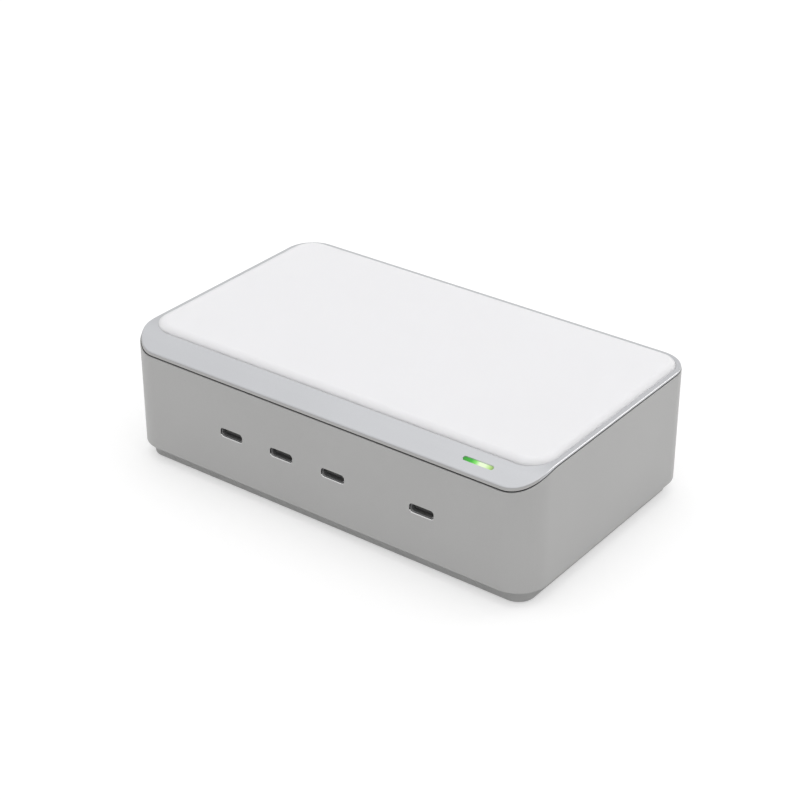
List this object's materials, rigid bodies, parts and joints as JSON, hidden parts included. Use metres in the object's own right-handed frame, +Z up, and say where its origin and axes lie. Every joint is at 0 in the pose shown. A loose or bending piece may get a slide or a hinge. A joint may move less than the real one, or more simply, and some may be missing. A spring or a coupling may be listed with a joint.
{
  "type": "usb-c charger",
  "caption": "Flat desktop USB-C charger: rounded grey metal body on a recessed plinth, pale cap with a sloped front strip, white top pad, green status light, sockets in front.",
  "frame": {"origin": "on the surface the feet stand on, under the middle of the body", "axes": "+X right along the front, -Y out of the front with the USB-C sockets, +Z up"},
  "size_m": [0.16, 0.0944, 0.0474],
  "materials": {
    "sleeve_metal": "fine satin anodised",
    "cap_plastic": "fine satin, light silver grey",
    "pad_silicone": "soft matte white",
    "light_window": "clear green, lit from behind",
    "light_source": "clear resin over phosphor",
    "cover_plastic": "fine matte",
    "foot_rubber": "matte",
    "screw_steel": "zinc plated",
    "socket_steel": "drawn steel, dark nickel",
    "socket_plastic": "black moulding",
    "inlet_plastic": "black moulding, fine texture",
    "pin_metal": "nickel plated brass",
    "board_laminate": "green solder resist",
    "bar_copper": "tinned copper strip",
    "winding_copper": "enamelled wire",
    "ferrite": "pressed ferrite, matte",
    "bobbin_plastic": "moulded",
    "insulation_film": "translucent film",
    "fuse_case": "moulded",
    "disc_epoxy": "dipped epoxy",
    "film_case": "moulded case",
    "sink_metal": "extruded",
    "chip_epoxy": "moulded epoxy",
    "can_sleeve": "shrink sleeve",
    "capacitor_case": "moulded case",
    "inductor_body": "pressed powder"
  },
  "bodies": {
    "root": {"body_sleeve": "sleeve_metal", "top_cap": "cap_plastic", "top_pad": "pad_silicone", "light_guide": "light_window", "status_led": "light_source", "bottom_cover": "cover_plastic", "rubber_feet": "foot_rubber", "cover_screws": "screw_steel", "usb_shell_1": "socket_steel", "usb_shell_2": "socket_steel", "usb_shell_3": "socket_steel", "usb_shell_4": "socket_steel", "usb_tongue_1": "socket_plastic", "usb_tongue_2": "socket_plastic", "usb_tongue_3": "socket_plastic", "usb_tongue_4": "socket_plastic", "inlet_body": "inlet_plastic", "inlet_pin_line": "pin_metal", "inlet_pin_neutral": "pin_metal", "inlet_pin_earth": "pin_metal", "main_board": "board_laminate", "port_board": "board_laminate", "power_card": "board_laminate", "dc_link_bars": "bar_copper", "choke_windings": "winding_copper", "transformer_winding": "winding_copper", "boost_winding": "winding_copper", "choke_core": "ferrite", "transformer_core": "ferrite", "boost_core": "ferrite", "transformer_bobbin": "bobbin_plastic", "boost_bobbin": "bobbin_plastic", "insulating_sheet": "insulation_film", "fuse": "fuse_case", "varistor": "disc_epoxy", "suppression_capacitor": "film_case", "line_capacitors": "film_case", "rectifier_heat_sink": "sink_metal", "output_heat_sink": "sink_metal", "bridge_rectifier": "chip_epoxy", "switch_transistors": "chip_epoxy", "output_rectifiers": "chip_epoxy", "port_controllers": "chip_epoxy", "buck_transistors": "chip_epoxy", "bulk_capacitors": "can_sleeve", "output_capacitors": "capacitor_case", "buck_inductors": "inductor_body"}
  },
  "joints": []
}
